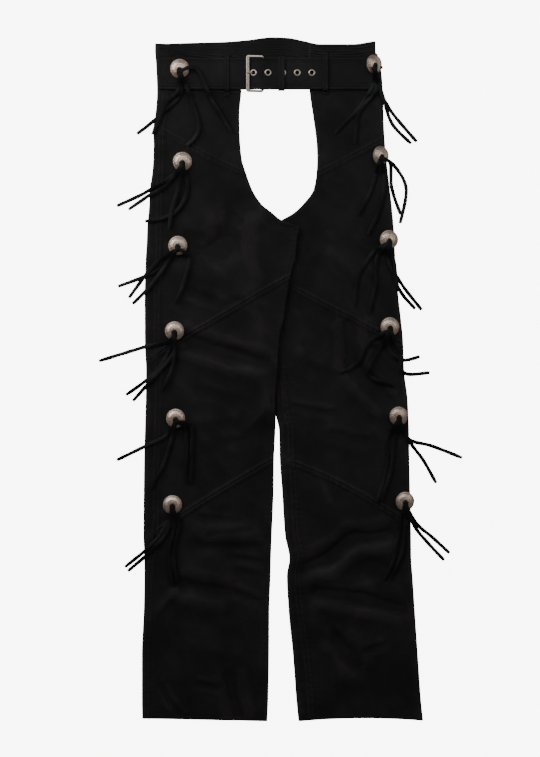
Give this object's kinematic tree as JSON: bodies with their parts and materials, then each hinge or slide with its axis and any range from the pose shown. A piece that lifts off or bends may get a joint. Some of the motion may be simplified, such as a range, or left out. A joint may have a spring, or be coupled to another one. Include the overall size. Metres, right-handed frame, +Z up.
{
  "type": "leather chaps",
  "caption": "Black leather chaps laid flat with the front up: two flattened leg tubes under a waistband, a buckled belt, and conchos with hanging laces down each outer leg.",
  "frame": {"origin": "middle of the bottom of the bounding box, on the surface that the chaps lie on", "axes": "+Z up out of the front of the chaps, +Y from the hems to the waist, +X to the wearer's left"},
  "size_m": [0.5748, 1.0798, 0.0249],
  "materials": {
    "leather": "soft black garment leather with a fine grain and a low sheen",
    "strap_leather": "firmer black belt leather with stitched edges",
    "lace_leather": "flat black leather lace with a slight cool sheen",
    "nickel": "warm polished nickel plate",
    "concho_metal": "warm silver-coloured metal with dark engraving"
  },
  "bodies": {
    "root": {"right_front_hip": "leather", "right_front_thigh": "leather", "right_front_knee": "leather", "right_front_lower": "leather", "left_front_hip": "leather", "left_front_thigh": "leather", "left_front_knee": "leather", "left_front_lower": "leather", "right_back": "leather", "left_back": "leather", "right_outer_strip": "leather", "left_outer_strip": "leather", "right_waistband": "leather", "left_waistband": "leather", "back_waistband": "leather", "belt_strap": "strap_leather", "belt_billet": "strap_leather", "belt_keeper": "strap_leather", "right_belt_loop": "strap_leather", "left_belt_loop": "strap_leather", "buckle_frame": "nickel", "buckle_prong": "nickel", "eyelet_1": "nickel", "eyelet_2": "nickel", "eyelet_3": "nickel", "eyelet_4": "nickel", "eyelet_5": "nickel", "concho_right_1": "concho_metal", "concho_right_2": "concho_metal", "concho_right_3": "concho_metal", "concho_right_4": "concho_metal", "concho_right_5": "concho_metal", "concho_right_6": "concho_metal", "concho_left_1": "concho_metal", "concho_left_2": "concho_metal", "concho_left_3": "concho_metal", "concho_left_4": "concho_metal", "concho_left_5": "concho_metal", "concho_left_6": "concho_metal", "tassel_right_1": "lace_leather", "tassel_right_2": "lace_leather", "tassel_right_3": "lace_leather", "tassel_right_4": "lace_leather", "tassel_right_5": "lace_leather", "tassel_right_6": "lace_leather", "tassel_left_1": "lace_leather", "tassel_left_2": "lace_leather", "tassel_left_3": "lace_leather", "tassel_left_4": "lace_leather", "tassel_left_5": "lace_leather", "tassel_left_6": "lace_leather"}
  },
  "joints": []
}
